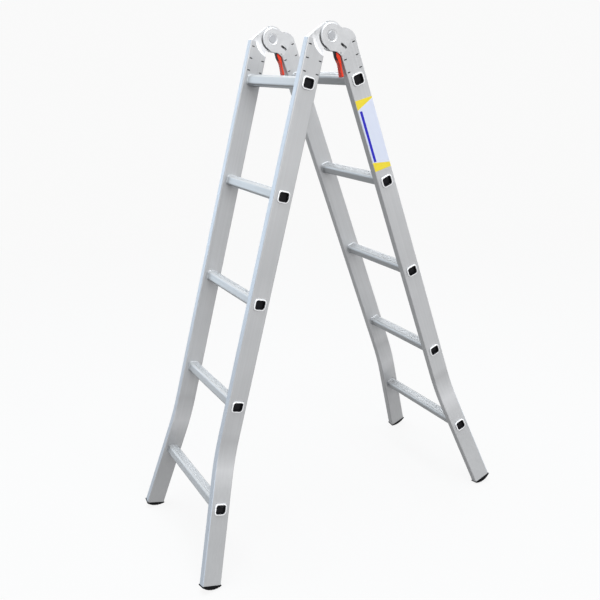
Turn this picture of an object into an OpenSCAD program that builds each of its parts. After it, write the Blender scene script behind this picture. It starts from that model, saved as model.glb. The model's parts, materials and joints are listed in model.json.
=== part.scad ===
// Folding A-frame ladder: two five-rung aluminium frames on a pair of locking hinges.
// Shown standing open. X runs across the ladder, the front frame leans to -Y and the rear frame to +Y.
// The origin is on the floor, midway between the feet. Lengths are in millimetres, angles in degrees.

/* [Stance] */
// Lean of each frame from upright when the hinges are locked as an A-frame
lean = 17.6; // [12:0.1:24]
// Gap between the two frames when folded flat
fold_gap = 18.8; // [16:0.2:26]

/* [Stiles] */
// Width over the stiles above the bend
outer_width = 336; // [280:1:420]
// Depth of a stile, along the way that a climber faces
stile_depth = 54; // [50:1:66]
// Thickness of a stile, across the ladder
stile_thick = 22; // [20:0.5:28]
// Wall of the stile tube
stile_wall = 1.5; // [1:0.1:2]
// Corner radius of the stile tube
stile_corner = 3; // [2:0.1:5]
// Crossing of the straight stile and the flared leg, above the lowest rung
bend_up = 128; // [100:1:160]
// Angle by which each leg flares outward
bend_angle = 12.3; // [4:0.1:16]
// Radius of the bend at the middle of the tube
bend_radius = 510; // [300:5:600]
// Hinge axis to the cut end of the leg, along the upper stile
leg_drop = 1446; // [1400:1:1600]

/* [Rungs] */
// Number of rungs in each frame
rung_count = 5; // [5:1:5]
// Hinge axis to the middle of the top rung
top_rung_drop = 123; // [118:1:135]
// Lowest rung above the cut end of the leg
foot_rung_up = 203; // [170:1:240]
// Size of a rung across its tread
rung_depth = 30.5; // [26:0.5:34]
// Size of a rung from tread to underside
rung_height = 27.5; // [24:0.5:32]
// Wall of the rung tube
rung_wall = 1.3; // [1.2:0.1:2.4]
// Corner radius of a rung
rung_corner = 7.2; // [3:0.1:7.6]
// Larger corner radius, at the lower edge that faces the other frame
rung_soft_corner = 9; // [6:0.1:10]
// Number of ribs on a tread
rib_count = 7; // [3:1:8]
// Width of a tread rib
rib_width = 1.2; // [0.8:0.1:1.6]
// Height of a tread rib
rib_height = 0.9; // [0.5:0.1:1.5]
// Radius of the rolled collar at a stile
collar_r = 1.8; // [1:0.1:2.2]

/* [Plugs and feet] */
// Depth of a plug below the rung's open end
plug_recess = 1.2; // [0.5:0.1:3]
// Length of a plug
plug_length = 14; // [8:0.5:24]
// Wall of the cup in a plug
plug_wall = 2.2; // [1.5:0.1:4]
// Depth of the cup in a plug
plug_cup = 6; // [3:0.5:7]
// Thickness of a rubber sole at its middle
sole_thick = 11; // [9:0.5:16]
// Thickness of a rubber sole at its front and rear edges
sole_edge = 2.5; // [1.5:0.1:4]
// Number of grooves across a sole
groove_count = 6; // [4:1:8]
// Width by which the sole stands out beyond the stile
sole_overhang = 1; // [0.4:0.1:2]
// Length of the foot's plug inside the stile
foot_plug = 36; // [20:1:60]

/* [Hinge] */
// Radius of the tongue's round head
head_r = 34; // [32:0.5:36]
// Thickness of the tongue
tongue_thick = 11.4; // [9:0.1:12]
// Hinge axis to the front stile's top edge
front_top_drop = 20; // [16:0.5:24]
// Inner radius of the sloping rim in front of the stile
rim_r = 44; // [41:0.5:48]
// Radius of the round cut in the stile ends
seat_r = 53.5; // [52:0.5:58]
// Radius of the clevis's round head
cheek_r = 29.5; // [28:0.5:31]
// Chamfer on the round edge of the clevis's cheeks
cheek_bevel = 1.6; // [0.8:0.1:2.4]
// Hinge axis to the rear stile's top edge
rear_top_drop = 27; // [25:0.5:32]
// Radius of the clevis's domed shoulder
dome_r = 38; // [36:0.5:40]
// Hinge axis to the middle of the dome, down the stile
dome_drop = 30; // [28:0.5:34]
// Hinge axis to the end of the spigots inside the stiles
spigot_drop = 105; // [100:1:107]
// Radius of the hinge rivet
rivet_r = 7; // [6:0.1:8]
// Radius of the rivet's head
rivet_head_r = 10.2; // [9:0.1:12]
// Height of the rivet's head
rivet_head_h = 1.8; // [1:0.1:2]
// Radius of the recess round the rivet's head
recess_r = 15; // [13:0.1:16]
// Depth of the recess round the rivet's head
recess_depth = 2.4; // [1.5:0.1:3]
// Width of the recess's sloping wall
recess_slope = 2.6; // [1:0.1:2.8]

/* [Lock] */
// Angle of the lock slot from the line of the stile
slot_angle = 35; // [32:0.5:37]
// Hinge axis to the inner end of the lock slot
slot_in = 31; // [29:0.5:33]
// Hinge axis to the outer end of the lock slot
slot_out = 51.5; // [49:0.5:52]
// Hinge axis to the middle of the lock pin
pin_drop = 39.5; // [39:0.1:39.8]
// Radius of the lock pin
pin_r = 3; // [2.5:0.1:3.2]
// Width of the lock bolt
bolt_width = 8; // [7.5:0.1:8.4]
// Hinge axis to the back of the lock bolt
bolt_back = 50.5; // [50:0.1:51]
// Depth to which the bolt enters a notch
bolt_bite = 1.8; // [1:0.1:2]
// Room that the bolt has to draw back further
bolt_spare = 1.2; // [0.8:0.1:1.4]
// Hinge axis to the seat of the lock spring
spring_seat = 64; // [63:0.5:66]
// Outer radius of the lock spring
spring_r = 3.8; // [3:0.1:4]
// Wire radius of the lock spring
wire_r = 0.6; // [0.4:0.05:0.7]
// Turns of the lock spring
spring_turns = 5; // [4:1:6]

/* [Lever] */
// Hinge axis to the lever pin, down the stile
lever_drop = 46.5; // [45.5:0.5:47]
// Hinge axis to the lever pin, outward
lever_out = 10; // [9.5:0.1:11]
// Radius of the lever pin
lever_pin_r = 2.2; // [1.8:0.1:2.4]
// Radius of the lever's hub
hub_r = 5.4; // [4.5:0.1:5.8]
// Radius of the nose that moves the bolt
nose_r = 2; // [1.8:0.1:2.2]
// Hinge axis to the nose, along the slot
nose_drop = 45.5; // [45.3:0.1:45.8]
// Thickness of the lever's core
core_thick = 10.8; // [9:0.1:11]
// Width of the lever's grip, across the ladder
grip_width = 15; // [12:0.5:17]
// Width of the grip's waist
waist_width = 12.6; // [12:0.1:14]
// Width of the grip's end
end_width = 16.4; // [15:0.1:18]
// Thickness of the lever's grip
grip_thick = 5.4; // [4:0.1:6]
// Lever pin to the end of the grip
grip_reach = 58; // [45:0.5:64]

/* [Hidden] */
$fn = 96;
// Clearance of pieces that slide or turn against each other
run_gap = 0.3;
// Radial clearance of a shaft in its bore
shaft_gap = 0.05;
// Clearance of pieces that are pressed or staked together
seat_gap = 0.1;
// Radial clearance of a pressed pin
press_gap = 0.02;
// Overrun of every cut
over = 5;

// Stile places, in a frame's own axes: x across, y outward from the hinge axis, z up the stile
inner_y = fold_gap / 2;
outer_y = inner_y + stile_depth;
stile_y = inner_y + stile_depth / 2;
stile_x = (outer_width - stile_thick) / 2;
low_rung_drop = leg_drop - foot_rung_up;
rung_pitch = (low_rung_drop - top_rung_drop) / (rung_count - 1);
bend_drop = low_rung_drop - bend_up;
bend_tangent = bend_radius * tan(bend_angle / 2);
bend_start = bend_drop - bend_tangent;
leg_run = (leg_drop - bend_drop) / cos(bend_angle) - bend_tangent;
// Step and lap of the leg's wall inside the wall of the bend
leg_step = 0.02;
leg_lap = 1;
bore_thick = stile_thick - 2 * stile_wall;
bore_depth = stile_depth - 2 * stile_wall;
least_corner = 0.2;
bore_corner = max(stile_corner - stile_wall, least_corner);

// Sole of a foot: its arc, and the height that stands the lowest point on the floor
sole_half = stile_depth / 2 + sole_overhang;
sole_sag = sole_thick - sole_edge;
sole_r = (sole_half * sole_half + sole_sag * sole_sag) / (2 * sole_sag);
groove_width = 2;
groove_depth = 1;
groove_turn = 2 * asin(sole_half / sole_r) / (groove_count + 1);
sole_slope = sqrt(pow(cos(bend_angle) * cos(lean), 2) + pow(sin(lean), 2));
sole_half_x = stile_thick / 2 + sole_overhang;
sole_mid_z = stile_y * sin(lean) - cos(lean) * (leg_drop + (sole_thick - sole_r) * cos(bend_angle));
hinge_z = sole_r * sole_slope + sole_half_x * sin(bend_angle) * cos(lean) - sole_mid_z;

// Places of the stake marks that hold the spigots: steps down the stile and inset from its edges
stake_first = 34;
stake_step = 32;
stake_outer_inset = 10;
stake_inner_inset = 7.5;
stake_length = 8;
stake_width = 2.8;
stake_depth = 2.6;

// Hinge halves: the slab between the cheeks, and the spigots
cheek_gap = tongue_thick + 2 * run_gap;
spigot_thick = bore_thick - 2 * seat_gap;
spigot_in = inner_y + stile_wall + seat_gap;
spigot_out = outer_y - stile_wall - seat_gap;
spigot_shell = 4;
spigot_pocket = 18;

// Tongue: the straight top edge runs from the shoulder to a tangent of the head
shoulder_reach = norm([spigot_out, front_top_drop]);
shoulder_turn = atan2(-front_top_drop, spigot_out);
tongue_touch = shoulder_turn + acos(head_r / shoulder_reach);
// Share of a round head's radius at which a straight edge runs into it
touch_share = 0.999;

// Clevis: the dome's middle, and the flat that falls from the head into the notch before the dome
dome_y = outer_y - dome_r;
flat_turn = 42;
flat_length = 26;
// The chin below the head, and the knee from which the cheek runs out to the stile
chin_y = -16;
chin_drop = 31;
chin_turn = atan2(-chin_drop, chin_y) - acos(cheek_r / norm([chin_y, chin_drop]));
knee_y = 1;
knee_drop = 40;
root_drop = sqrt(seat_r * seat_r - inner_y * inner_y);
// Stop face that meets the tongue's top edge when the ladder is straight
stop_turn = -tongue_touch;
stop_reach = head_r + run_gap;

// Lock: openings between the frames at which the bolt finds a notch, and the travel of the bolt
lock_openings = [0, 2 * lean, 180];
bolt_front = head_r + run_gap;
bolt_in = run_gap + bolt_bite;
notch_r = head_r - bolt_bite - run_gap;
bolt_thick = cheek_gap - 2 * run_gap;
bolt_chamfer = 0.8;
nose_share = 0.6;
bolt_side = bolt_width / 2 + run_gap;
nose_depth = nose_share * nose_r;
nose_y = nose_drop * sin(slot_angle) - (bolt_width / 2 - nose_depth) * cos(slot_angle);
nose_z = -nose_drop * cos(slot_angle) - (bolt_width / 2 - nose_depth) * sin(slot_angle);
lever_arm = norm([nose_y - lever_out, nose_z + lever_drop]);
lever_in = bolt_in / lever_arm * 180 / PI;
spring_start = bolt_back + bolt_spare + run_gap;
spring_path_r = spring_r - wire_r;
spring_rings = 14;
wire_sides = 6;
peg_r = spring_r - 2 * wire_r - run_gap;
peg_length = 5;

// Lever: core and grip are drawn as they lie when locked, beside the stile, and turned out by lever_in
grip_back = inner_y - lever_out - 2 * run_gap;
grip_front = grip_back - grip_thick;
grip_top = 7;
core_heel_y = -13;
core_heel_z = 9;
core_toe_y = -12.3;
core_toe_z = -8;
core_tip_z = -16;
neck_z = -24;
core_tip_y = core_toe_y + (grip_front - core_toe_y) * (core_toe_z - core_tip_z) / (core_toe_z - neck_z);
core_split_y = -9.5;
core_split_z = 4;
cover_top_z = 2.5;
cover_knee_y = -8.5;
cover_knee_z = 2;
cover_root_y = -4;
cover_root_z = -3.5;
cover_foot_z = -9;
cover_edge = 0.9;
tang_thick = 2.4;
tang_width = 8;
tang_length = 50;
tang_front = grip_front + (grip_thick - tang_thick) / 2;
waist_z = -36;
end_r = 4;
grip_groove = 0.8;
grip_groove_width = 2;
grip_groove_step = 6;
grip_groove_count = 5;

// Rungs: corner radii from the lower inner corner round, and how far an end stands out of the stile
rung_radii = [rung_soft_corner, rung_corner, rung_corner, rung_corner];
lip = 2 * collar_r + 2 * seat_gap;
// Longest reach of an outline or a cut from the hinge axis
reach = spigot_drop + outer_y;

function rung_drop(i) = top_rung_drop + (i - 1) * rung_pitch;
function rung_tilt(i) = rung_drop(i) > bend_drop ? bend_angle : 0;
function rung_mid_x(i) = stile_x + max(0, rung_drop(i) - bend_drop) * tan(bend_angle);
function rung_face_x(i) = rung_mid_x(i) + stile_thick / 2 / cos(rung_tilt(i));
function rung_inner_x(i) = rung_mid_x(i) - stile_thick / 2 / cos(rung_tilt(i));
function rung_end_x(i) = rung_face_x(i) + lip + rung_height * tan(rung_tilt(i));

sides = ["near", "far"];

// Places a piece of the front or the rear frame, drawn in that frame's own axes
module in_frame(f) {
    translate([0, 0, hinge_z])
        mirror([0, f == "front" ? 1 : 0, 0])
            rotate([lean, 0, 0])
                children();
}

// Keeps a piece on the near side (+X) or mirrors it to the far side
module on_side(s) {
    mirror([s == "far" ? 1 : 0, 0, 0])
        children();
}

// Extrudes an outline drawn in y and z from x0 to x1
module slab(x0, x1) {
    translate([x0, 0, 0])
        rotate([90, 0, 90])
            linear_extrude(x1 - x0)
                children();
}

// Same, centred on the middle of the near stile
module stile_slab(thick) {
    slab(stile_x - thick / 2, stile_x + thick / 2)
        children();
}

// Round bar along x, centred on the middle of the near stile
module cross_bar(r, length) {
    translate([stile_x - length / 2, 0, 0])
        rotate([0, 90, 0])
            cylinder(r = r, h = length);
}

// Rounded rectangle with its own radius at each corner: lower left, lower right, upper right, upper left
module round_box(w, h, r) {
    polygon([
        [-w / 2, -h / 2 + r[0]], [-w / 2 + r[0], -h / 2],
        [w / 2 - r[1], -h / 2], [w / 2, -h / 2 + r[1]],
        [w / 2, h / 2 - r[2]], [w / 2 - r[2], h / 2],
        [-w / 2 + r[3], h / 2], [-w / 2, h / 2 - r[3]]
    ]);
    for (k = [0:3])
        translate(box_corner(w, h, r, k))
            circle(r[k]);
}

function box_corner(w, h, r, k) = [
    (k == 1 || k == 2 ? 1 : -1) * (w / 2 - r[k]),
    (k > 1 ? 1 : -1) * (h / 2 - r[k])
];

// Outline of a rung grown by g, with the soft corner low and towards the other frame
module rung_outline(g) {
    round_box(rung_depth + 2 * g, rung_height + 2 * g, [for (r = rung_radii) max(r + g, least_corner)]);
}

// Section of the stile tube, with both faces drawn in by g
module stile_section(g) {
    difference() {
        round_box(stile_thick - 2 * g, stile_depth - 2 * g, [for (k = [0:3]) stile_corner - g]);
        round_box(bore_thick + 2 * g, bore_depth + 2 * g, [for (k = [0:3]) bore_corner + g]);
    }
}

// Tube of the near stile: straight, round the bend, and down the flared leg that laps into the bend
module stile_run(top_drop) {
    translate([stile_x, stile_y, -bend_start])
        linear_extrude(bend_start - top_drop)
            stile_section(0);
    at_bend()
        rotate([-90, 0, 180])
            rotate_extrude(angle = bend_angle)
                translate([bend_radius, 0])
                    mirror([1, 0])
                        stile_section(0);
    at_leg_end()
        linear_extrude(leg_run + leg_lap)
            stile_section(leg_step);
}

// Moves to the centre of the near stile's bend
module at_bend() {
    translate([stile_x + bend_radius, stile_y, -bend_start])
        children();
}

// Moves to the cut end of the near leg, with z up the leg
module at_leg_end() {
    at_bend()
        rotate([0, -bend_angle, 0])
            translate([-bend_radius, 0, -leg_run])
                children();
}

// Moves to the middle of a rung
module at_rung(i) {
    translate([0, stile_y, -rung_drop(i)])
        children();
}

// All that lies further out than a plane beside the stile's outer face at a rung
module beyond(i, out) {
    translate([rung_face_x(i), stile_y, -rung_drop(i)])
        rotate([0, -rung_tilt(i), 0])
            translate([out, -stile_depth, -stile_depth])
                cube(2 * stile_depth);
}

// Stile tube with its rung holes, round hinge end and stake marks
module stile(top_drop) {
    color("gainsboro")
        difference() {
            stile_run(top_drop);
            cross_bar(seat_r, stile_thick + 2 * over);
            for (i = [1:rung_count])
                at_rung(i)
                    slab(0, outer_width)
                        rung_outline(seat_gap);
            stile_slab(stile_thick + 2 * over)
                stake_marks();
        }
}

// Short slits where the tube is staked on the spigot: three near the outer edge, two near the inner
module stake_marks() {
    for (k = [0:2])
        translate([outer_y - stake_outer_inset, -stake_first - k * stake_step])
            square([stake_length, stake_width], center = true);
    for (k = [1:2])
        translate([inner_y + stake_inner_inset, -stake_first - k * stake_step])
            square([stake_length, stake_width], center = true);
}

// Rolled bead round a rung, drawn flat: rods on the sides and ring quarters at the corners
module bead() {
    w = rung_depth;
    h = rung_height;
    for (k = [0:3]) {
        next = (k + 1) % 4;
        here = box_corner(w, h, rung_radii, k);
        there = box_corner(w, h, rung_radii, next);
        side = k % 2 == 0 ? 0 : 1;
        translate(here)
            rotate(180 + 90 * k)
                rotate_extrude(angle = 90)
                    translate([rung_radii[k], 0])
                        circle(collar_r);
        translate(side == 0 ? [here[0], sign(here[1]) * h / 2] : [sign(here[0]) * w / 2, here[1]])
            rotate([0, 90, 90 * k])
                cylinder(r = collar_r, h = abs(there[side] - here[side]));
    }
}

// Rung tube with ribbed treads, and a rolled bead on each side of each stile
module rung(i) {
    rib_x = rung_inner_x(i) - lip - rung_height * tan(rung_tilt(i));
    color("gainsboro")
        difference() {
            union() {
                at_rung(i) {
                    slab(-rung_end_x(i), rung_end_x(i))
                        rung_outline(0);
                    slab(-rib_x, rib_x)
                        for (k = [0:rib_count - 1], up = [-1, 1])
                            tread_rib(k, up);
                }
                for (s = sides)
                    on_side(s)
                        rung_beads(i);
            }
            at_rung(i)
                slab(-rung_end_x(i) - over, rung_end_x(i) + over)
                    rung_outline(-rung_wall);
            for (s = sides)
                on_side(s)
                    beyond(i, lip);
        }
}

// One rib of the tread above (up = 1) or below (up = -1), sunk into the wall
module tread_rib(k, up) {
    start = up > 0 ? rung_radii[3] : rung_radii[0];
    step = (rung_depth - start - rung_corner - rib_width) / (rib_count - 1);
    foot_z = up > 0 ? rung_height / 2 - rung_wall / 2 : -rung_height / 2 - rib_height;
    translate([start - rung_depth / 2 + k * step, foot_z])
        square([rib_width, rib_height + rung_wall / 2]);
}

// Beads of one rung against the outer and the inner face of the near stile
module rung_beads(i) {
    tilt = rung_tilt(i);
    off = (collar_r + seat_gap) / cos(tilt);
    for (x = [rung_face_x(i) + off, rung_inner_x(i) - off])
        translate([x, stile_y, -rung_drop(i)])
            rotate([90, 0, 90])
                rotate([-tilt, 0, 0])
                    if (tilt == 0)
                        bead();
                    else
                        stepped_bead(rung_height / cos(tilt));
}

// The same bead where it leans with a flared leg: three plates that step round its section
module stepped_bead(h) {
    for (step = [1:3]) {
        out = collar_r * cos(90 * step / 4);
        linear_extrude(2 * collar_r * sin(90 * step / 4), center = true)
            round_box(rung_depth + 2 * out, h + 2 * out, [for (r = rung_radii) r + out]);
    }
}

// Plastic cups that close the rung ends of one frame
module rung_plugs() {
    color("black")
        for (i = [1:rung_count], s = sides)
            on_side(s)
                difference() {
                    at_rung(i)
                        slab(rung_end_x(i) - plug_length, rung_end_x(i))
                            rung_outline(-rung_wall - seat_gap);
                    beyond(i, lip - plug_recess);
                    intersection() {
                        at_rung(i)
                            slab(0, rung_end_x(i))
                                rung_outline(-rung_wall - plug_wall);
                        beyond(i, lip - plug_recess - plug_cup);
                    }
                }
}

// Rubber foot: a plug in the stile and a sole with a convex tread
module foot() {
    color("dimgray")
        at_leg_end() {
            translate([0, 0, -sole_edge / 2])
                linear_extrude(foot_plug + sole_edge / 2)
                    round_box(bore_thick - 2 * seat_gap, bore_depth - 2 * seat_gap,
                        [for (k = [0:3]) bore_corner]);
            slab(-sole_half_x, sole_half_x)
                intersection() {
                    translate([-sole_half, -sole_thick])
                        square([2 * sole_half, sole_thick - seat_gap]);
                    translate([0, sole_r - sole_thick])
                        difference() {
                            circle(sole_r, $fn = 4 * $fn);
                            for (k = [1:groove_count])
                                rotate((k - (groove_count + 1) / 2) * groove_turn)
                                    translate([-groove_width / 2, -sole_r - over])
                                        square([groove_width, groove_depth + over]);
                        }
                }
        }
}

// Outline of a spigot from a stile's top edge down
module spigot_outline(top_drop) {
    translate([spigot_in, -spigot_drop])
        square([spigot_out - spigot_in, spigot_drop - top_drop]);
}

// Cuts that fit a spigot into its stile: chamfers along its edges and pockets under the stake marks
module spigot_cuts() {
    w = spigot_thick / 2;
    h = (spigot_out - spigot_in) / 2;
    for (a = [-w, w], b = [-h, h])
        translate([stile_x + a, stile_y + b, -spigot_drop - over])
            rotate(45)
                linear_extrude(spigot_drop + over)
                    square(sqrt(2) * bore_corner, center = true);
    for (face = [-1, 1])
        translate([face * (spigot_thick - stake_depth), 0, 0])
            stile_slab(spigot_thick)
                stake_marks();
}

// Hollow in the lower end of a spigot
module spigot_hollow() {
    stile_slab(spigot_thick - 2 * spigot_shell)
        translate([spigot_in + spigot_shell, -spigot_drop - over])
            square([spigot_out - spigot_in - 2 * spigot_shell, spigot_pocket + over]);
}

// Front hinge half: a round-headed tongue that swells by a sloping rim into the spigot
module hinge_tongue() {
    color("silver")
        difference() {
            intersection() {
                union() {
                    cross_bar(head_r, stile_thick);
                    stile_slab(stile_thick)
                        tongue_outline();
                }
                translate([stile_x, 0, 0])
                    rotate([0, 90, 0])
                        rotate_extrude()
                            rim_profile();
            }
            cross_bar(rivet_r + shaft_gap, stile_thick);
            stile_slab(stile_thick)
                lock_notches();
            spigot_cuts();
            spigot_hollow();
        }
}

// Straight top edge and spigot of the tongue, from the middle of its round head
module tongue_outline() {
    polygon([
        [0, 0], touch_share * head_r * [cos(tongue_touch), sin(tongue_touch)], [spigot_out, -front_top_drop],
        [spigot_out, -spigot_drop], [spigot_in, -spigot_drop], [spigot_in, -front_top_drop]
    ]);
}

// Half section through the rim: thin inside, thick beyond the stile's round cut
module rim_profile() {
    polygon([
        [0, -tongue_thick / 2], [rim_r, -tongue_thick / 2],
        [seat_r, -spigot_thick / 2], [reach, -spigot_thick / 2],
        [reach, spigot_thick / 2], [seat_r, spigot_thick / 2],
        [rim_r, tongue_thick / 2], [0, tongue_thick / 2]
    ]);
}

// Notches of the head where the bolt drops in
module lock_notches() {
    for (opening = lock_openings)
        rotate(-slot_angle - opening)
            translate([-bolt_side, -head_r - over])
                square([2 * bolt_side, over + head_r - notch_r]);
}

// Rear hinge half: two cheeks flush with the stile, a web between them and a spigot
module hinge_clevis() {
    color("silver")
        difference() {
            union() {
                stile_slab(stile_thick)
                    difference() {
                        cheek_outline();
                        stile_zone();
                        rim_room();
                    }
                difference() {
                    stile_slab(spigot_thick)
                        spigot_outline(rear_top_drop);
                    spigot_cuts();
                }
            }
            difference() {
                stile_slab(cheek_gap)
                    clevis_gap();
                spring_peg();
            }
            cross_bar(rivet_r + press_gap, stile_thick);
            for (face = [-1, 1]) {
                rivet_recess(face);
                head_bevel(face);
            }
            stile_slab(stile_thick + 2 * over)
                lock_slot();
            translate([0, lever_out, -lever_drop])
                cross_bar(lever_pin_r + press_gap, stile_thick);
            spigot_hollow();
        }
}

// Round recess for the rivet's head in one face of the clevis, with a sloping wall
module rivet_recess(face) {
    floor_r = recess_r - recess_slope;
    mouth_r = recess_r + over * recess_slope / recess_depth;
    translate([stile_x + face * (stile_thick / 2 - recess_depth), 0, 0])
        rotate([0, 90 * face, 0])
            cylinder(r1 = floor_r, r2 = mouth_r, h = recess_depth + over);
}

// Chamfer along the round edge of one cheek, from the flat over the top to the chin
module head_bevel(face) {
    edge = stile_thick / 2;
    far_r = cheek_r + over;
    translate([stile_x, 0, 0])
        rotate([90, 0, 90])
            rotate(flat_turn)
                rotate_extrude(angle = 360 + chin_turn - flat_turn)
                    polygon([
                        [cheek_r - cheek_bevel - over, face * (edge + over)],
                        [far_r, face * (edge + over)], [far_r, face * (edge - cheek_bevel - over)]
                    ]);
}

// Round head, flat, domed shoulder and chin of a cheek
module cheek_outline() {
    chin = [chin_y, -chin_drop];
    flat_start = touch_share * cheek_r * [cos(flat_turn), sin(flat_turn)];
    circle(cheek_r);
    polygon([
        [0, 0], flat_start, flat_start + flat_length * [sin(flat_turn), -cos(flat_turn)],
        [dome_y, -dome_drop], [inner_y, -root_drop], [knee_y, -knee_drop],
        chin, touch_share * cheek_r * [cos(chin_turn), sin(chin_turn)]
    ]);
    difference() {
        translate([dome_y, -dome_drop])
            circle(dome_r);
        polygon([
            chin, [knee_y, -knee_drop], [inner_y, -root_drop], [inner_y, -reach],
            [-reach, -reach], [-reach, -chin_drop]
        ]);
    }
}

// The part of the outline that the rear stile's tube takes up
module stile_zone() {
    difference() {
        translate([-reach, -reach])
            square([2 * reach, reach - rear_top_drop + seat_gap]);
        circle(seat_r - seat_gap);
    }
}

// Room beside the cheeks for the tongue's rim when the ladder is straight
module rim_room() {
    difference() {
        rotate(stop_turn)
            square([stop_reach, reach]);
        circle(rim_r - run_gap);
    }
}

// Room between the cheeks for the tongue, the bolt, its spring and the lever
module clevis_gap() {
    rotate(stop_turn)
        translate([-reach, -reach])
            square([reach + stop_reach, 2 * reach]);
    rotate(slot_angle)
        translate([-reach, -spring_seat])
            square([reach + bolt_side, reach + spring_seat]);
}

// Peg on the web that holds the lock spring
module spring_peg() {
    translate([stile_x, 0, 0])
        rotate([slot_angle, 0, 0])
            translate([0, 0, -spring_seat])
                cylinder(r = peg_r, h = peg_length);
}

// Slot for the lock pin, with round ends
module lock_slot() {
    half = pin_r + shaft_gap;
    rotate(slot_angle) {
        for (drop = [slot_in + half, slot_out - half])
            translate([0, -drop])
                circle(half);
        translate([-half, half - slot_out])
            square([2 * half, slot_out - slot_in - 2 * half]);
    }
}

// Hinge rivet with a low chamfered head at each end
module hinge_rivet() {
    floor_x = stile_thick / 2 - recess_depth + press_gap;
    color("silver") {
        cross_bar(rivet_r, 2 * floor_x);
        for (face = [-1, 1])
            translate([stile_x + face * floor_x, 0, 0])
                rotate([0, 90 * face, 0])
                    rivet_head();
    }
}

module rivet_head() {
    edge = rivet_head_h / 2;
    cylinder(r = rivet_head_r, h = edge);
    translate([0, 0, edge])
        cylinder(r1 = rivet_head_r, r2 = rivet_head_r - edge, h = rivet_head_h - edge);
}

// Lock bolt: a block with a chamfered tooth, a bore for the lock pin and a pocket for the lever's nose
module lock_bolt() {
    color("darkgray")
        difference() {
            stile_slab(bolt_thick)
                rotate(slot_angle)
                    difference() {
                        bolt_outline();
                        translate([nose_depth - bolt_width / 2, -nose_drop]) {
                            circle(nose_r + run_gap);
                            translate([-bolt_width, -nose_r - run_gap])
                                square([bolt_width, 2 * (nose_r + run_gap)]);
                        }
                    }
            at_bolt(pin_drop)
                cross_bar(pin_r + press_gap, stile_thick);
        }
}

module bolt_outline() {
    half = bolt_width / 2;
    polygon([
        [-half, -bolt_back], [half, -bolt_back], [half, -bolt_front - bolt_chamfer],
        [half - bolt_chamfer, -bolt_front], [bolt_chamfer - half, -bolt_front],
        [-half, -bolt_front - bolt_chamfer]
    ]);
}

// Moves out along the lock slot
module at_bolt(drop) {
    rotate([slot_angle, 0, 0])
        translate([0, 0, -drop])
            children();
}

// Lock pin, across both cheeks
module lock_pin() {
    color("whitesmoke")
        at_bolt(pin_drop)
            cross_bar(pin_r, stile_thick - 2 * seat_gap);
}

// Lock spring: a round wire wound from the web towards the bolt
module lock_spring() {
    rings = spring_turns * spring_rings;
    length = spring_seat - spring_start - 2 * wire_r - seat_gap;
    points = [for (i = [0:rings], k = [0:wire_sides - 1])
        let (turn = 360 * i / spring_rings, side = 360 * k / wire_sides)
            let (r = spring_path_r + wire_r * cos(side))
                [r * cos(turn), r * sin(turn), wire_r * (1 + sin(side)) + length * i / rings]];
    least_gap = min([for (i = [spring_rings:rings])
        norm(points[i * wire_sides] - points[(i - spring_rings) * wire_sides]) - 2 * wire_r]);
    echo(spring_least_gap = least_gap);
    walls = [for (i = [0:rings - 1], k = [0:wire_sides - 1], half = [0, 1])
        let (a = i * wire_sides + k, b = i * wire_sides + (k + 1) % wire_sides)
            half == 0 ? [a, b, a + wire_sides] : [b, b + wire_sides, a + wire_sides]];
    ends = [for (k = [1:wire_sides - 2], last = [0, 1])
        let (s = last * rings * wire_sides)
            last == 0 ? [0, k + 1, k] : [s, s + k, s + k + 1]];
    color("dimgray")
        translate([stile_x, 0, 0])
            at_bolt(spring_seat - seat_gap)
                polyhedron(points, concat(walls, ends));
}

// Draws an outline in the lever's own axes, turned out from its locked place beside the stile
module at_lever() {
    translate([lever_out, -lever_drop])
        rotate(-lever_in)
            children();
}

// Lever core: hub, arm with its nose, and the black heel that carries the grip
module lever_core() {
    color("black")
        difference() {
            union() {
                stile_slab(core_thick) {
                    translate([lever_out, -lever_drop])
                        circle(hub_r);
                    lever_arm_outline();
                    at_lever()
                        heel_outline();
                }
                stile_slab(tang_width)
                    at_lever()
                        tang_outline(0);
            }
            translate([0, lever_out, -lever_drop])
                cross_bar(lever_pin_r + shaft_gap, stile_thick);
        }
}

// Arm from the hub to the round nose in the bolt's pocket
module lever_arm_outline() {
    half = nose_r - run_gap;
    translate([nose_y, nose_z])
        circle(nose_r);
    translate([lever_out, -lever_drop])
        rotate(atan2(nose_z + lever_drop, nose_y - lever_out))
            translate([0, -half])
                square([lever_arm, 2 * half]);
}

module heel_outline() {
    polygon([
        [core_heel_y, core_heel_z], [0, hub_r], [0, 0], [-hub_r, core_split_z],
        [core_split_y, core_split_z], [tang_front + tang_thick, core_tip_z],
        [core_tip_y, core_tip_z], [core_toe_y, core_toe_z]
    ]);
}

// Tang of the core inside the grip, grown by g
module tang_outline(g) {
    translate([tang_front - g, -tang_length - g])
        square([tang_thick + 2 * g, tang_length + core_tip_z + tang_thick + 2 * g]);
}

// Red grip: narrow between the cheeks, with covers beside the heel, a waist and a wide round end
module lever_grip() {
    cover = (grip_width - core_thick) / 2 - seat_gap;
    color("orangered")
        difference() {
            union() {
                intersection() {
                    stile_slab(end_width)
                        at_lever()
                            grip_outline();
                    translate([stile_x, lever_out, -lever_drop])
                        rotate([-lever_in, 0, 0])
                            rotate([90, 0, 0])
                                linear_extrude(2 * reach, center = true)
                                    grip_front_outline();
                }
                for (face = [-1, 1])
                    translate([face * (grip_width - cover) / 2, 0, 0])
                        stile_slab(cover)
                            at_lever()
                                cover_outline();
            }
            stile_slab(tang_width + 2 * seat_gap)
                at_lever()
                    tang_outline(seat_gap);
        }
}

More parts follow.
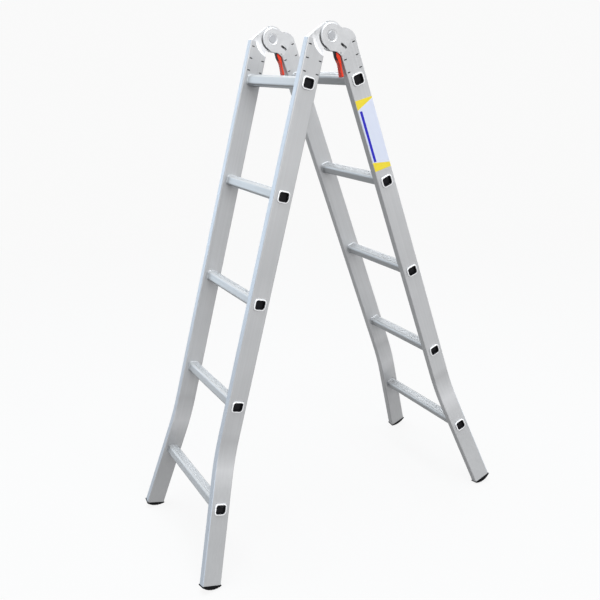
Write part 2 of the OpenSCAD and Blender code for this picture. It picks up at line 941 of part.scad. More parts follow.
// Side view of the grip
module grip_outline() {
    difference() {
        polygon([
            [core_split_y + seat_gap, core_split_z - seat_gap],
            [-hub_r - seat_gap, core_split_z - seat_gap], [-hub_r - seat_gap, -grip_top],
            [grip_back, -grip_top], [grip_back, -grip_reach],
            [grip_front, -grip_reach], [grip_front, neck_z], [core_tip_y, core_tip_z - seat_gap],
            [tang_front + tang_thick + seat_gap, core_tip_z - seat_gap]
        ]);
        for (k = [0:grip_groove_count - 1])
            translate([grip_front, neck_z - (k + 1) * grip_groove_step])
                square([2 * grip_groove, grip_groove_width], center = true);
    }
}

// Side view of a cover beside the heel, clear of the cheeks
module cover_outline() {
    polygon([
        [core_toe_y + cover_edge, cover_top_z], [cover_knee_y, cover_knee_z], [cover_root_y, cover_root_z],
        [grip_back, cover_foot_z], [grip_back, neck_z], [grip_front, neck_z],
        [core_toe_y + cover_edge, core_toe_z]
    ]);
}

// Front view of the grip
module grip_front_outline() {
    end = end_width / 2;
    end_z = end_r - grip_reach;
    polygon([
        [-grip_width / 2, -grip_top], [-waist_width / 2, waist_z], [-end, end_z], [end_r - end, -grip_reach],
        [end - end_r, -grip_reach], [end, end_z], [waist_width / 2, waist_z], [grip_width / 2, -grip_top]
    ]);
    for (side = [-1, 1])
        translate([side * (end - end_r), end_z])
            circle(end_r);
    translate([-core_thick / 2, waist_z])
        square([core_thick, core_heel_z - waist_z]);
}

// Pin on which a lever turns
module lever_pin() {
    color("silver")
        translate([0, lever_out, -lever_drop])
            cross_bar(lever_pin_r, stile_thick - 2 * seat_gap);
}

for (f = ["front", "rear"], s = sides)
    in_frame(f) on_side(s) stile(f == "front" ? front_top_drop : rear_top_drop);
for (f = ["front", "rear"], i = [1:rung_count])
    in_frame(f) rung(i);
for (f = ["front", "rear"])
    in_frame(f) rung_plugs();
for (f = ["front", "rear"], s = sides)
    in_frame(f) on_side(s) foot();
for (s = sides) {
    in_frame("front") on_side(s) hinge_tongue();
    in_frame("rear") on_side(s) hinge_clevis();
    in_frame("rear") on_side(s) hinge_rivet();
    in_frame("rear") on_side(s) lock_bolt();
    in_frame("rear") on_side(s) lock_pin();
    in_frame("rear") on_side(s) lock_spring();
    in_frame("rear") on_side(s) lever_core();
    in_frame("rear") on_side(s) lever_grip();
    in_frame("rear") on_side(s) lever_pin();
}
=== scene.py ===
# %% [markdown]
# # A folding ladder in drawn aluminium
# Two ladder frames meet at a pair of locking hinges and stand open as an A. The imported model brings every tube,
# casting, pin and lever in its real place, in metres, so nothing here is fitted or scaled. This lesson adds what
# the camera sees on top of that: a view, a soft studio, a finish for each piece, and the printed film on one
# stile.

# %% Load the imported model
import json
import math

import bpy
import numpy as np
from mathutils import Matrix, Vector


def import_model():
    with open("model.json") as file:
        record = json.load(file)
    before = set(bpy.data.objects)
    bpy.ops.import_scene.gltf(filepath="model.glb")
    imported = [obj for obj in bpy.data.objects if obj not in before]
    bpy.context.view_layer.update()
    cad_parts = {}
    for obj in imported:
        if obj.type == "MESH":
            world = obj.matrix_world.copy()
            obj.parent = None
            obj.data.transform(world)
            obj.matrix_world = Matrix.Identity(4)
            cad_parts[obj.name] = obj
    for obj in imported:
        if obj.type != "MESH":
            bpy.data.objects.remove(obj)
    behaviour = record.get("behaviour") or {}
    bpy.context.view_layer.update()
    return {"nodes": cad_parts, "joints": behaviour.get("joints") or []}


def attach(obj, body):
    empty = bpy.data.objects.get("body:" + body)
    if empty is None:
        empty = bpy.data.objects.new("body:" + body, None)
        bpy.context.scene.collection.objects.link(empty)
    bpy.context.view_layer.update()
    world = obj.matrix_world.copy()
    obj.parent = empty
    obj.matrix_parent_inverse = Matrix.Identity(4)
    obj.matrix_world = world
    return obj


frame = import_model()
nodes = frame["nodes"]
fold = {joint["name"]: joint for joint in frame["joints"]}["fold"]
hinge_z = fold["pos_m"][2]
lean = math.radians(-fold["range_deg"][0] / 2)
print(f"{len(nodes)} nodes, hinge axis at {hinge_z:.4f} m, each frame leans {math.degrees(lean):.1f} degrees")

# %% [markdown]
# ## The camera
# A camera can be moved by hand until the picture looks right. Here its place and lens were worked out from the
# rung ends, the feet and the hinge pivots, which is closer. A camera looks along its own -Z axis, so its matrix is
# built from three directions: right, up, and backwards. The small roll turns right and up about the line of
# sight. No shift and no depth of field are needed.

# %% Camera at the photograph's angle
yaw, pitch, roll = (math.radians(angle) for angle in (61.86, -19.31, -2.86))
place = Vector((1.783088, -0.987934, hinge_z - 0.009805))
picture_width, focal_length = 600, 737.308  # both in pixels
ahead = Vector((-math.sin(yaw) * math.cos(pitch), math.cos(yaw) * math.cos(pitch), math.sin(pitch)))
level = Vector((math.cos(yaw), math.sin(yaw), 0.0))
above = level.cross(ahead)
right = math.cos(roll) * level + math.sin(roll) * above
up = math.cos(roll) * above - math.sin(roll) * level
camera_data = bpy.data.cameras.new("photo_camera")
camera_data.sensor_width = 36.0
camera_data.lens = focal_length / picture_width * camera_data.sensor_width
camera_data.clip_end = 100.0
camera = bpy.data.objects.new("photo_camera", camera_data)
bpy.context.scene.collection.objects.link(camera)
camera.matrix_world = Matrix.Translation(place) @ Matrix((right, up, -ahead)).transposed().to_4x4()
bpy.context.scene.camera = camera
print(f"camera at {tuple(round(c, 3) for c in place)}, lens {camera_data.lens:.1f} mm")

# %% [markdown]
# ## A way to write materials
# A finish is a small graph of nodes, which could be drawn by hand in the shader editor. Written as code it can be
# repeated, and changed in one place. A few helpers keep the cells short. They start a material, add a node and
# fill its sockets, and they name the steps that come back often. Colours are written as red, green and blue.


# %% Nodes and sockets
def put(tree, socket, value):
    """Fills one socket with a number, a colour, or a link where the value is another node's output."""
    if isinstance(value, bpy.types.NodeSocket):
        tree.links.new(value, socket)
    elif socket.type == "RGBA":
        socket.default_value = (*value, 1.0)
    else:
        socket.default_value = value


def add(tree, kind, sockets=None, **settings):
    """Adds a node with its settings, and fills its sockets."""
    node = tree.nodes.new("ShaderNode" + kind)
    for key, value in settings.items():
        setattr(node, key, value)
    for key, value in (sockets or {}).items():
        put(tree, node.inputs[key], value)
    return node


def start_finish(name):
    """An empty material with a Principled shader wired to its output."""
    finish = bpy.data.materials.new(name)
    finish.use_nodes = True
    tree = finish.node_tree
    tree.nodes.clear()
    shader = add(tree, "BsdfPrincipled")
    add(tree, "OutputMaterial", {"Surface": shader.outputs["BSDF"]})
    return finish, tree, shader


print("node helpers ready")


# %% Places, numbers and shares
def position(tree):
    """Where a point of the piece lies, in metres from the origin."""
    return add(tree, "TexCoord").outputs["Object"]


def part_of(tree, vector, axis):
    """One of a vector's three parts: X, Y or Z."""
    return add(tree, "SeparateXYZ", {"Vector": vector}).outputs[axis]


def facing(tree, axis):
    """How much a surface looks along an axis: that part of its normal, from -1 to 1."""
    return part_of(tree, add(tree, "TexCoord").outputs["Normal"], axis)


def number(tree, how, *values):
    """The result of one Math node, where how is its operation on the values."""
    return add(tree, "Math", dict(enumerate(values)), operation=how).outputs[0]


def spread(tree, value, low, high, start=0.0, end=1.0):
    """Maps a value from start..end onto low..high, held at both ends."""
    sockets = {"Value": value, "From Min": start, "From Max": end, "To Min": low, "To Max": high}
    return add(tree, "MapRange", sockets).outputs["Result"]


def past(tree, value, start, end, most=1.0):
    """A share that grows from 0 at start to most at end."""
    return spread(tree, value, 0.0, most, start, end)


def before(tree, value, start, end, most=1.0):
    """A share that falls from most at start to 0 at end."""
    return spread(tree, value, most, 0.0, start, end)


def both(tree, first, second):
    """A share that is 1 only where both shares are 1: their product."""
    return number(tree, "MULTIPLY", first, second)


print("number helpers ready")

# %% Noise, colours and bumps
one_noise, two_noises = (0.3, 0.7), (0.7, 1.3)  # where most of one noise, or of the sum of two, lies


def noise(tree, where, scale, detail, roughness=0.5):
    """Smooth noise from 0 to 1 over the coordinates where; a larger scale has more changes in each unit."""
    sockets = {"Vector": where, "Scale": scale, "Detail": detail, "Roughness": roughness}
    return add(tree, "TexNoise", sockets).outputs["Fac"]


def blend_numbers(tree, share, first, second):
    """Mixes two numbers: the first where the share is 0, the second where it is 1."""
    return add(tree, "Mix", {0: share, 2: first, 3: second}).outputs[0]


def blend_colours(tree, share, first, second, how="MIX"):
    """Mixes two colours: the first where the share is 0, the second, or its product with the first, at 1."""
    sockets = {0: share, 6: first, 7: second}
    return add(tree, "Mix", sockets, data_type="RGBA", blend_type=how).outputs[2]


def shade(tone, factor):
    """A tone made darker or paler by a factor, up to white."""
    return tuple(min(1.0, factor * c) for c in tone)


def raise_grain(tree, shader, height, strength, depth):
    """A bump from a height, where depth is what a height of 1 stands for, in metres."""
    bump = add(tree, "Bump", {"Height": height, "Strength": strength, "Distance": depth})
    put(tree, shader.inputs["Normal"], bump.outputs["Normal"])


print("colour helpers ready")

# %% [markdown]
# ## Studio
# The object stands on a white floor under a white sky. A picture of a real studio could light it, but plain panels
# are easier to steer. The camera, and anything shiny, sees the sky and floor as plain white; light that bounces
# softly sees a calmer level, so the metal keeps its tone and the floor its shadow. A large panel overhead and a
# larger one high at the side do most of the lighting; a small bright one would be mirrored as a white glare. A weak
# blue one at the left is mirrored in the narrow front faces of the tubes and in the rungs, and gives them their
# cool tone. One behind keeps the back open, and one on the far side shines along the treads of the rear frame.


# %% White sky
def seen_directly(tree):
    """1 for camera, glossy and transmission rays, 0 for soft bounce light."""
    path = add(tree, "LightPath").outputs
    shown = number(tree, "MAXIMUM", path["Is Camera Ray"], path["Is Glossy Ray"])
    return number(tree, "MAXIMUM", shown, path["Is Transmission Ray"])


white, soft_sky, soft_strength = (0.952, 0.952, 0.952), (0.93, 0.96, 1.0), 0.13
world = bpy.data.worlds.new("white_sky")
bpy.context.scene.world = world
world.use_nodes = True
sky = world.node_tree
sky.nodes.clear()
soft_light = add(sky, "Background", {"Color": soft_sky, "Strength": soft_strength}).outputs[0]
seen_sky = add(sky, "Background", {"Color": white, "Strength": 1.0}).outputs[0]
whole_sky = add(sky, "MixShader", {0: seen_directly(sky), 1: soft_light, 2: seen_sky}).outputs[0]
add(sky, "OutputWorld", {"Surface": whole_sky})
print(f"sky: white to the camera, strength {soft_strength} for soft light")


# %% White floor
def make_mesh(name, points, faces, finish):
    """A mesh object at the origin from an array of points and an array of four-cornered faces."""
    mesh = bpy.data.meshes.new(name)
    mesh.from_pydata(np.asarray(points, float).tolist(), [], np.asarray(faces, int).tolist())
    mesh.update()
    mesh.materials.append(finish)
    made = bpy.data.objects.new(name, mesh)
    bpy.context.scene.collection.objects.link(made)
    return made


def floor_finish():
    """A white glow where the floor is seen directly, and a dim floor for soft light. Near the object 7 percent of
    the lit floor is let through, so that the shadow shows; that share falls to nothing with the distance."""
    finish, tree, shader = start_finish("pale_floor")
    direct = seen_directly(tree)
    cloudy = add(tree, "TexNoise", {"Scale": 0.7, "Detail": 2.0}).outputs["Fac"]
    pale = blend_colours(tree, cloudy, (0.84, 0.84, 0.84), (0.86, 0.86, 0.86))
    dim = (0.10, 0.10, 0.10)
    put(tree, shader.inputs["Base Color"], blend_colours(tree, direct, dim, pale))
    put(tree, shader.inputs["Roughness"], 0.9)
    put(tree, shader.inputs["Specular IOR Level"], 0.1)
    glow = add(tree, "Emission", {"Color": white, "Strength": 1.0}).outputs[0]
    away = add(tree, "VectorMath", {0: position(tree)}, operation="LENGTH").outputs["Value"]
    near, far, near_glow = 1.2, 4.0, 0.93
    share = both(tree, direct, spread(tree, away, near_glow, 1.0, near, far))
    mixed = add(tree, "MixShader", {0: share, 1: shader.outputs[0], 2: glow}).outputs[0]
    output = next(node for node in tree.nodes if node.type == "OUTPUT_MATERIAL")
    put(tree, output.inputs["Surface"], mixed)
    return finish


side = 30.0
corners = [(-side, -side, 0), (side, -side, 0), (side, side, 0), (-side, side, 0)]
floor = make_mesh("floor", corners, [(0, 1, 2, 3)], floor_finish())
print(f"floor {2 * side:.0f} m wide")


# %% Five soft panels
def panel(name, where, target, width, height, watts, tint=(1.0, 1.0, 1.0)):
    """A rectangular soft panel at a place, turned to face a target."""
    data = bpy.data.lights.new(name, "AREA")
    data.shape = "RECTANGLE"
    data.size, data.size_y, data.energy, data.color = width, height, watts, tint
    lamp = bpy.data.objects.new(name, data)
    bpy.context.scene.collection.objects.link(lamp)
    lamp.location = where
    lamp.rotation_euler = (Vector(target) - Vector(where)).to_track_quat("-Z", "Y").to_euler()


middle, upper = (0.0, 0.0, 0.7), (0.0, 0.0, 1.0)
panel("top_panel", (0.0, -0.6, 6.0), middle, 4.0, 4.0, 400, (0.90, 0.96, 1.0))
panel("side_panel", (8.0, -0.5, 4.4), middle, 8.0, 4.0, 585)
panel("left_panel", (-3.5, -2.1, 1.45), upper, 1.8, 2.4, 24, (0.72, 0.87, 1.0))
panel("back_panel", (1.0, 6.0, 2.4), middle, 4.0, 2.5, 70)
panel("far_panel", (-8.0, 1.0, 5.0), middle, 8.0, 4.0, 140)
print("five panels")

# %% [markdown]
# ## Drawn aluminium
# The stiles and rungs are pulled through a die, which leaves faint lines along their length. They could be cut into
# the mesh, but they are far finer than its faces, so they are noise in the finish, stretched along the tube: many
# changes across, few along. They turn the roughness and a shallow bump a little, and a wide, slow noise gives the
# cloudy tone of mill-finished metal. A Mapping node first turns the pattern so that its z runs along the tube.

# %% Bare drawn metal
fine_lines, slow_bands = (1400.0, 1400.0, 5.0), (220.0, 220.0, 2.0)  # changes in a metre, the last along the tube
tube_roughness, rough_change, tube_metal = 0.42, 0.06, 0.35


def stretched_noise(tree, turned, changes, detail, roughness=0.5):
    """Noise whose scale differs along the three axes."""
    squeezed = add(tree, "Mapping", {"Vector": turned, "Scale": changes}).outputs["Vector"]
    return noise(tree, squeezed, 1.0, detail, roughness)


def drawn_aluminium(name, turn, tone, relief, marks, *sizes):
    """Metal with fine lines along the z axis of the coordinates, after turning them by the angles in turn.
    The colour is the tone times a slow band and a cloud, each from 0.96 to 1.03. Lines and clouds turn the
    roughness, and lines and small specks raise a bump of strength relief. The function marks then adds painted
    shade and highlights on the tube, and darker grooves on the rungs, from its sizes."""
    finish, tree, shader = start_finish(name)
    here = position(tree)
    turned = add(tree, "Mapping", {"Vector": here, "Rotation": turn}).outputs["Vector"]
    lines = stretched_noise(tree, turned, fine_lines, detail=2.0, roughness=0.6)
    bands = stretched_noise(tree, turned, slow_bands, detail=3.0)
    clouds = noise(tree, here, scale=7.0, detail=4.0, roughness=0.55)
    specks = noise(tree, here, scale=900.0, detail=1.0)
    darkest, palest, speck_height = 0.96, 1.03, 0.4
    banded = spread(tree, bands, 0.0, 1.0, *one_noise)
    drawn = blend_colours(tree, banded, shade(tone, darkest), shade(tone, palest))
    cloudy = spread(tree, clouds, darkest, palest, *one_noise)
    grey = add(tree, "CombineColor", {0: cloudy, 1: cloudy, 2: cloudy}).outputs[0]
    colour = blend_colours(tree, 1.0, drawn, grey, "MULTIPLY")
    mixed = number(tree, "ADD", lines, clouds)
    rough = spread(tree, mixed, tube_roughness - rough_change, tube_roughness + rough_change, *two_noises)
    colour, rough = marks(tree, here, colour, rough, *sizes)
    put(tree, shader.inputs["Base Color"], colour)
    put(tree, shader.inputs["Roughness"], rough)
    put(tree, shader.inputs["Metallic"], tube_metal)
    rise = number(tree, "ADD", lines, spread(tree, specks, 0.0, speck_height))
    raise_grain(tree, shader, rise, relief, depth=0.0002)
    return finish


print("drawn metal ready")

# %% [markdown]
# ## Painted shade and highlights on the tubes
# Faces that look down are painted darker, as painted shade. On each leg a dark band where the bend starts and a
# bright one further down it are painted reflections of the bend. The leg below is painted darker, as a painted dark
# reflection, and the narrow faces that look up are painted paler and bluish, as a painted reflection. The tops of
# the treads are painted paler, as painted light from above, and the grooves between their ribs are darker. The
# rolled collars at the ends of the rungs are painted bright, as a painted highlight. Such marks could be painted by
# hand. Here they are worked out from where a point lies and where its face looks, so that the same rules fit every
# tube.


# %% Where a point lies on a frame
def hinge_zones(tree, here):
    """Two distances of the point here, on either frame: from the hinge axis, and down a stile from it.
    With y and height h from the axis they are the root of y*y + h*h, and |y| sin(lean) - h cos(lean)."""
    y = part_of(tree, here, "Y")
    height = number(tree, "SUBTRACT", part_of(tree, here, "Z"), hinge_z)
    flat = add(tree, "CombineXYZ", {"X": 0.0, "Y": y, "Z": height}).outputs[0]
    reach = add(tree, "VectorMath", {0: flat}, operation="LENGTH").outputs["Value"]
    fall = number(tree, "MULTIPLY", height, -math.cos(lean))
    down = number(tree, "MULTIPLY_ADD", number(tree, "ABSOLUTE", y), math.sin(lean), fall)
    return reach, down


print("distances from the hinge ready")

# %% Painted shade and reflections on the stiles
# painted shade: the leg below the bend is darker, a painted dark reflection
low_leg_shade_range, low_leg_shade_tone, low_leg_shade_share = (1.170, 1.260), (0.30, 0.305, 0.31), 0.25  # the range is down a stile
# painted reflections of the bend: a dark band and a bright one, a little bluish
bend_reflection_bands, bend_reflection_share = ((1.062, 0.025, 0.40), (1.140, 0.050, 0.74)), 0.45  # centre down a stile, reach, tone
bend_reflection_blue = 1.02
# painted reflection: faces that look up are paler and bluish
sky_reflection_tone, looks_up, sky_reflection_share = (0.52, 0.58, 0.66), (0.22, 0.29), 0.8
# painted shade: faces that look down are darker
underside_shade_tone, looks_down, stile_underside_shade = (0.27, 0.275, 0.28), (-0.28, -0.20), 0.45


def stile_painted_light(tree, here, colour, rough):
    """Painted shade for a dark reflection grows from nothing to its share over a range down the leg. Each painted
    reflection band of the bend is a tone that is strongest at its centre and falls evenly to nothing at its reach.
    By the z of their normal, faces that look up are painted paler and bluish, as a painted reflection, and those
    that look down are painted darker, as painted shade."""
    down = hinge_zones(tree, here)[1]
    # painted shade on the leg below the bend
    colour = blend_colours(tree, past(tree, down, *low_leg_shade_range, low_leg_shade_share), colour, low_leg_shade_tone)
    # painted reflection bands of the bend
    for centre, reach, tone in bend_reflection_bands:
        off = number(tree, "ABSOLUTE", number(tree, "SUBTRACT", down, centre))
        bend_reflection = before(tree, off, 0.0, reach, bend_reflection_share)
        colour = blend_colours(tree, bend_reflection, colour, (tone, tone, bend_reflection_blue * tone))
    upward = facing(tree, "Z")
    # painted reflection on faces that look up
    colour = blend_colours(tree, past(tree, upward, *looks_up, sky_reflection_share), colour, sky_reflection_tone)
    # painted shade on faces that look down
    return blend_colours(tree, before(tree, upward, *looks_down, stile_underside_shade), colour, underside_shade_tone), rough


print("stile marks ready")

# %% Painted shade and highlights on the rungs
first_rung, rung_pitch = 0.123, 0.280  # distances down a stile
# painted light from above: the tread ribs, which look up, are paler
tread_light_tone, tread_looks = (0.72, 0.73, 0.745), (0.45, 0.70)
# the grooves between the ribs are darker
groove_range, groove_tone, groove_share = (-0.0145, -0.0140), (0.40, 0.405, 0.41), 0.8  # the range is from the middle
# painted highlight: the rolled collars at the rung ends are bright
collar_highlight_tone, collar_roughness, collar_edge = (0.93, 0.935, 0.95), 0.3, 0.0004
# painted shade on rung faces that look down
rung_underside_shade = 0.65


def rung_light_and_grooves(tree, here, colour, rough, collar):
    """Faces that look down are painted darker, as painted shade, and those that look up paler,
    as painted light from above, by the z of the normal. The grooves between the ribs, which lie up to 14 mm above
    the rung's own middle, are darker; that middle is found by wrapping the distance down the stile into one pitch.
    Further than collar from the ladder's middle plane the metal is smoother and painted bright, a painted highlight
    on the rolled collar."""
    upward = facing(tree, "Z")
    # painted shade on faces that look down
    colour = blend_colours(tree, before(tree, upward, *looks_down, rung_underside_shade), colour, underside_shade_tone)
    # painted light from above on faces that look up
    lit_tread = past(tree, upward, *tread_looks)
    colour = blend_colours(tree, lit_tread, colour, tread_light_tone)
    from_first = number(tree, "SUBTRACT", hinge_zones(tree, here)[1], first_rung)
    from_own = number(tree, "WRAP", from_first, rung_pitch / 2, -rung_pitch / 2)
    # darker grooves between the ribs
    groove = both(tree, lit_tread, past(tree, from_own, *groove_range, groove_share))
    colour = blend_colours(tree, groove, colour, groove_tone)
    outward = number(tree, "ABSOLUTE", part_of(tree, here, "X"))
    # painted highlight on the collar, which is also smoother
    collar_highlight = past(tree, outward, collar, collar + collar_edge)
    colour = blend_colours(tree, collar_highlight, colour, collar_highlight_tone)
    return colour, blend_numbers(tree, collar_highlight, rough, collar_roughness)


print("rung marks ready")

# %% Four drawn finishes
along_front, along_rear, along_rung = (lean, 0.0, 0.0), (-lean, 0.0, 0.0), (0.0, math.pi / 2, 0.0)
# the rear stiles' tone is painted a little paler than the front's, as painted light on the rear frame
front_tone, rear_lit_tone, rung_tone = (0.50, 0.505, 0.515), (0.53, 0.535, 0.545), (0.48, 0.50, 0.52)
stile_relief, rung_relief = 0.12, 0.04
collar_start, low_collar_start = 0.1681, 0.192  # distances from the middle plane; the lowest rungs are longer
front_metal = drawn_aluminium("front_stile_metal", along_front, front_tone, stile_relief, stile_painted_light)
rear_metal = drawn_aluminium("rear_stile_metal", along_rear, rear_lit_tone, stile_relief, stile_painted_light)
rung_metal = drawn_aluminium("rung_metal", along_rung, rung_tone, rung_relief, rung_light_and_grooves, collar_start)
low_rung_metal = drawn_aluminium("low_rung_metal", along_rung, rung_tone, rung_relief, rung_light_and_grooves,
                                 low_collar_start)
print("four drawn finishes")

# %% [markdown]
# ## Cast hinge halves, plated steel, plastics and rubber
# The hinge halves are die cast and tumbled, so their surface has a fine even grain and no direction. Their sloping
# edges and the lower part of the front half's rim are painted pale and a little smoother, as a painted highlight.
# The gap behind the disc is painted dark, as painted shade, and so are the spigots inside the tubes, which is what
# shows in the stake slits. The rivets and lever pins are zinc plated and the lock pins are blackened. The plugs and
# lever cores are black moulded plastic, the feet are rubber, and the grips are red plastic with a slight mould
# texture. Each could be a graph of its own. One function makes them all, because they differ only in tone, gloss
# and size of grain, and others add the castings' painted highlights and shade.

# %% Surface with an even grain
grain_change = 0.07  # of the roughness


def grained(name, tone, roughness, metal, grain, relief, patch=0.05, gloss=0.5, painted_light_marks=None):
    """A fine noise of scale grain and a slow one turn the tone by up to the share patch, and the roughness a
    little. The fine one also raises a bump of strength relief. Gloss is the specular level. Where a function for
    painted highlights and shade is given, it adds them."""
    finish, tree, shader = start_finish(name)
    here = position(tree)
    fine = noise(tree, here, grain, detail=3.0, roughness=0.6)
    slow = noise(tree, here, scale=35.0, detail=4.0)
    mixed = number(tree, "ADD", fine, slow)
    patchy = spread(tree, mixed, 0.0, 1.0, *two_noises)
    colour = blend_colours(tree, patchy, shade(tone, 1 - patch), shade(tone, 1 + patch))
    rough = spread(tree, mixed, roughness - grain_change, roughness + grain_change, *two_noises)
    if painted_light_marks:
        colour, rough = painted_light_marks(tree, here, colour, rough)
    put(tree, shader.inputs["Base Color"], colour)
    put(tree, shader.inputs["Roughness"], rough)
    put(tree, shader.inputs["Specular IOR Level"], gloss)
    put(tree, shader.inputs["Metallic"], metal)
    raise_grain(tree, shader, fine, relief, depth=0.0003)
    return finish


print("even grain ready")

# %% Painted highlights and shade on the castings
# painted highlight tone for the sloping faces and the rim
cast_tone, slope_highlight_tone = (0.57, 0.575, 0.585), (0.82, 0.825, 0.84)
# painted shade tones: the gap behind the disc, and the spigots inside the tubes
gap_shade_tone, spigot_shade_tone = (0.08, 0.08, 0.085), (0.02, 0.02, 0.021)
cast_roughness, slope_highlight_roughness = 0.42, 0.32
slope_starts, slope_ends = (0.35, 0.60), (0.955, 0.985)  # how much a face looks to the side
rim_starts, rim_ends, gap_shade_ends = (0.0336, 0.0342), (0.0532, 0.0535), (0.0324, 0.0330)  # from the hinge axis
spigot_reach, spigot_down = (0.0540, 0.0542), (0.0285, 0.0287)  # from the axis and down; past both is spigot
# the painted highlight is full below these heights and a tenth as strong above
highlight_heights, highlight_least = (hinge_z - 0.014, hinge_z + 0.008), 0.1
# painted shade in the gap, below these heights
gap_shade_heights = (hinge_z, hinge_z + 0.020)


def sloped_faces(tree):
    """1 on faces that slope towards a side of the ladder, 0 on those that look straight to it or away."""
    aside = number(tree, "ABSOLUTE", facing(tree, "X"))
    return both(tree, past(tree, aside, *slope_starts), before(tree, aside, *slope_ends))


def paint_highlight_and_shade(tree, zones, highlight_share, colour, rough):
    """A painted highlight is paler and smoother, and the spigot inside the tube is painted dark, as painted shade.
    """
    reach, down = zones
    # painted highlight
    colour = blend_colours(tree, highlight_share, colour, slope_highlight_tone)
    # painted shade on the spigot inside the tube
    spigot_shade = both(tree, past(tree, reach, *spigot_reach), past(tree, down, *spigot_down))
    colour = blend_colours(tree, spigot_shade, colour, spigot_shade_tone)
    return colour, blend_numbers(tree, highlight_share, rough, slope_highlight_roughness)


def clevis_highlight_and_shade(tree, here, colour, rough):
    """The rear half: its slopes get a painted highlight, and its spigot painted shade."""
    return paint_highlight_and_shade(tree, hinge_zones(tree, here), sloped_faces(tree), colour, rough)


def tongue_highlight_and_shade(tree, here, colour, rough):
    """The front half: its slopes and its rim get a painted highlight, fully in the lower part and a tenth as
    much in the upper. Within the rim it is painted dark, as painted shade in the gap behind the disc, most below
    the hinge axis and not at all from 20 mm above it."""
    reach, down = hinge_zones(tree, here)
    height = part_of(tree, here, "Z")
    rim = both(tree, past(tree, reach, *rim_starts), before(tree, reach, *rim_ends))
    highlit_faces = number(tree, "MAXIMUM", sloped_faces(tree), rim)
    highlight_share = both(tree, highlit_faces, spread(tree, height, 1.0, highlight_least, *highlight_heights))
    # painted shade in the gap behind the disc
    gap_shade = both(tree, before(tree, reach, *gap_shade_ends), before(tree, height, *gap_shade_heights))
    colour = blend_colours(tree, gap_shade, colour, gap_shade_tone)
    return paint_highlight_and_shade(tree, (reach, down), highlight_share, colour, rough)


print("wear ready")

# %% Nine finishes without direction
casting = dict(roughness=cast_roughness, metal=0.35, grain=700.0, relief=0.15)
steel = dict(grain=1500.0, relief=0.06)
clevis_metal = grained("clevis_metal", cast_tone, painted_light_marks=clevis_highlight_and_shade, **casting)
tongue_metal = grained("tongue_metal", cast_tone, painted_light_marks=tongue_highlight_and_shade, **casting)
rivet_steel = grained("rivet_steel", (0.42, 0.43, 0.45), roughness=0.38, metal=0.45, **steel)
plated_steel = grained("plated_steel", (0.30, 0.305, 0.31), roughness=0.32, metal=0.7, **steel)
blackened_steel = grained("blackened_steel", (0.028, 0.028, 0.030), roughness=0.45, metal=0.3, gloss=0.2, **steel)
spring_wire = grained("spring_wire", (0.30, 0.31, 0.33), roughness=0.35, metal=0.95, **steel)
black_plastic = grained("black_plastic", (0.010, 0.010, 0.012), roughness=0.38, metal=0.0, grain=1600.0,
                        relief=0.12, patch=0.25, gloss=0.1)
black_rubber = grained("black_rubber", (0.007, 0.007, 0.008), roughness=0.75, metal=0.0, grain=900.0,
                       relief=0.25, patch=0.35, gloss=0.06)
red_plastic = grained("red_plastic", (0.88, 0.048, 0.016), roughness=0.40, metal=0.0, grain=1200.0,
                      relief=0.10, patch=0.08, gloss=0.3)
print("nine finishes without direction")

# %% [markdown]
# ## A finish for every piece
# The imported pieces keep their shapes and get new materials. Each could be named one by one, but their names start
# with what they are, so the longest start in the list that fits a name gives its finish.

# %% Give every node its finish
finish_of = {
    "front_stile": front_metal, "rear_stile": rear_metal,
    "front_rung": rung_metal, "rear_rung": rung_metal,
    "front_rung_5": low_rung_metal, "rear_rung_5": low_rung_metal,
    "front_rung_plugs": black_plastic, "rear_rung_plugs": black_plastic,
    "front_foot": black_rubber, "rear_foot": black_rubber,
    "hinge_tongue": tongue_metal, "hinge_clevis": clevis_metal, "hinge_rivet": rivet_steel,
    "lock_bolt": plated_steel, "lock_pin": blackened_steel, "lock_spring": spring_wire,
    "lever_core": black_plastic, "lever_grip": red_plastic, "lever_pin": plated_steel,
}
for name, piece in nodes.items():
    longest = max((start for start in finish_of if name.startswith(start)), key=len)
    piece.data.materials.clear()
    piece.data.materials.append(finish_of[longest])
print("finishes on", len(nodes), "nodes")

# %% [markdown]
# ## Printed film on the rear stile
# A blank sheet of printed film is stuck on the outer face of the near rear stile: a yellow wedge at the top, a
# pale field with a blue stripe, and a yellow band at the foot. Its colours could be zones of the stile's own
# finish, but a real film has an edge that catches light. So it is a thin closed shell on a grid. One parameter
# runs down the stile and one across it, and near the edges the film follows the tube's round corners.

# %% Film shell
half_width, stile_corner = 0.168, 0.003
stile_inner, stile_outer = 0.0094, 0.0634  # outward from the hinge axis


def film_point(down, out, rise):
    """Points on the near rear stile's outer face: down the stile, outward from the hinge axis, rise off the face.
    On the flat the face is at half the width. Past the start of a corner it falls along the corner's circle, by
    the radius less the root of radius squared less distance past squared."""
    start, end = stile_inner + stile_corner, stile_outer - stile_corner
    beyond = np.maximum(np.maximum(start - out, out - end), 0.0)
    fall = stile_corner - np.sqrt(np.maximum(stile_corner ** 2 - beyond ** 2, 0.0))
    x = half_width - fall + rise * np.sqrt(np.maximum(1 - (beyond / stile_corner) ** 2, 0.0))
    y = out * math.cos(lean) + down * math.sin(lean)
    z = hinge_z + out * math.sin(lean) - down * math.cos(lean)
    return np.stack([x, y, z], axis=-1)


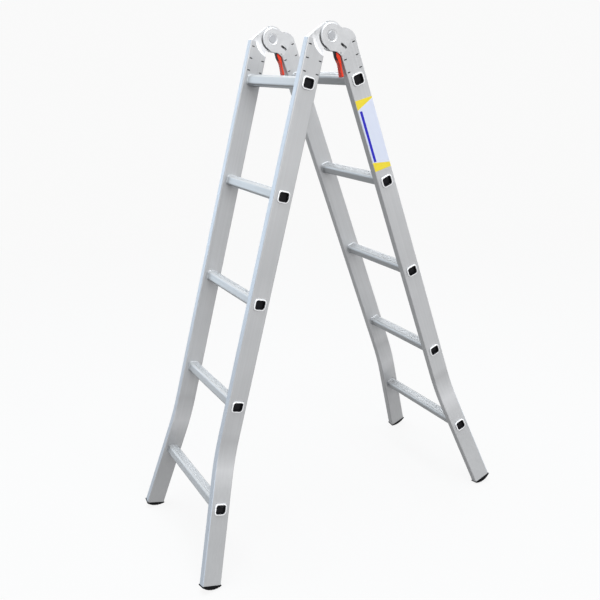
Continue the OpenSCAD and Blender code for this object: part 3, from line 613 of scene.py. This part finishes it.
def closed_sheet(name, under, over, finish):
    """Closes two equal grids of points into a thin shell and stores the grid's two parameters as its UV map."""
    rows, columns = over.shape[:2]
    count = rows * columns
    ids = np.arange(count).reshape(rows, columns)
    quads = np.stack([ids[:-1, :-1], ids[1:, :-1], ids[1:, 1:], ids[:-1, 1:]], axis=-1).reshape(-1, 4)
    ring = np.concatenate([ids[0, :-1], ids[:-1, -1], ids[-1, :0:-1], ids[:0:-1, 0]])
    rim = np.stack([ring, np.roll(ring, -1), np.roll(ring, -1) + count, ring + count], axis=-1)
    faces = np.concatenate([quads, quads[:, ::-1] + count, rim])
    made = make_mesh(name, np.concatenate([over.reshape(-1, 3), under.reshape(-1, 3)]), faces, finish)
    down, across = np.meshgrid(np.linspace(0, 1, rows), np.linspace(0, 1, columns), indexing="ij")
    flat = np.tile(np.stack([across, down], axis=-1).reshape(-1, 2), (2, 1))
    corner_of = np.empty(len(made.data.loops), int)
    made.data.loops.foreach_get("vertex_index", corner_of)
    layer = made.data.uv_layers.new(name="sheet")
    layer.data.foreach_set("uv", flat[corner_of].ravel())
    return made


print("film shell ready")

# %% Film finish
edge_softness = 0.0015  # in the sheet's parameters
pale_inks, blue_ink = ((0.74, 0.79, 0.95), (0.79, 0.84, 0.97)), (0.012, 0.008, 0.50)
yellow_inks = ((0.93, 0.72, 0.035), (0.97, 0.80, 0.06))
wedge_edge, band_edge = (0.128, 0.022), (0.868, 0.935)  # shares of the length, at the inner and the outer side
stripe_across, stripe_down = (0.085, 0.235), (0.150, 0.868)
film_roughness = (0.30, 0.42)


def film_finish():
    """Coloured zones by the sheet's two parameters: edges of a zone are straight lines in them."""
    finish, tree, shader = start_finish("printed_film")
    uv = add(tree, "UVMap", uv_map="sheet").outputs["UV"]
    across, down = part_of(tree, uv, "X"), part_of(tree, uv, "Y")

    def zone(value, edge):
        """1 where value is past edge, with a soft step a few tenths of a millimetre wide."""
        return past(tree, number(tree, "SUBTRACT", value, edge), -edge_softness, edge_softness)

    def inside(value, low, high):
        """1 where value lies between low and high."""
        return both(tree, zone(value, low), number(tree, "SUBTRACT", 1.0, zone(value, high)))

    top_edge = spread(tree, across, *wedge_edge)
    foot_edge = spread(tree, across, *band_edge)
    ink = noise(tree, uv, scale=9.0, detail=3.0)
    pale = blend_colours(tree, ink, *pale_inks)
    yellow = blend_colours(tree, ink, *yellow_inks)
    stripe = both(tree, inside(across, *stripe_across), inside(down, *stripe_down))
    striped = blend_colours(tree, stripe, pale, blue_ink)
    topped = blend_colours(tree, zone(down, top_edge), yellow, striped)
    put(tree, shader.inputs["Base Color"], blend_colours(tree, zone(down, foot_edge), topped, yellow))
    grain = noise(tree, uv, scale=60.0, detail=2.0)
    put(tree, shader.inputs["Roughness"], spread(tree, grain, *film_roughness, *one_noise))
    raise_grain(tree, shader, grain, strength=0.05, depth=0.0002)
    return finish


print("film finish ready")

# %% The film
film_rows, film_columns = 60, 24
film_inner, film_outer = 0.0108, 0.0618  # outward from the hinge axis
inner_top, inner_foot, top_slant, foot_slant = 0.1706, 0.3653, 0.0058, 0.0047  # down the stile
film_under, film_over = 0.00003, 0.00022  # off the stile's face
rows, columns = np.linspace(0, 1, film_rows), np.linspace(0, 1, film_columns)
down_share, across_share = np.meshgrid(rows, columns, indexing="ij")
film_out = film_inner + across_share * (film_outer - film_inner)
film_top = inner_top + across_share * top_slant
film_foot = inner_foot + across_share * foot_slant
film_down = film_top + down_share * (film_foot - film_top)
film = closed_sheet("printed_film", film_point(film_down, film_out, film_under),
                    film_point(film_down, film_out, film_over), film_finish())
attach(film, "rear_frame")
print("film", len(film.data.polygons), "faces")

# %% [markdown]
# ## Colour view
# The picture's colours are shown with the Standard view transform.

# %% Standard view transform
bpy.context.scene.view_settings.view_transform = "Standard"
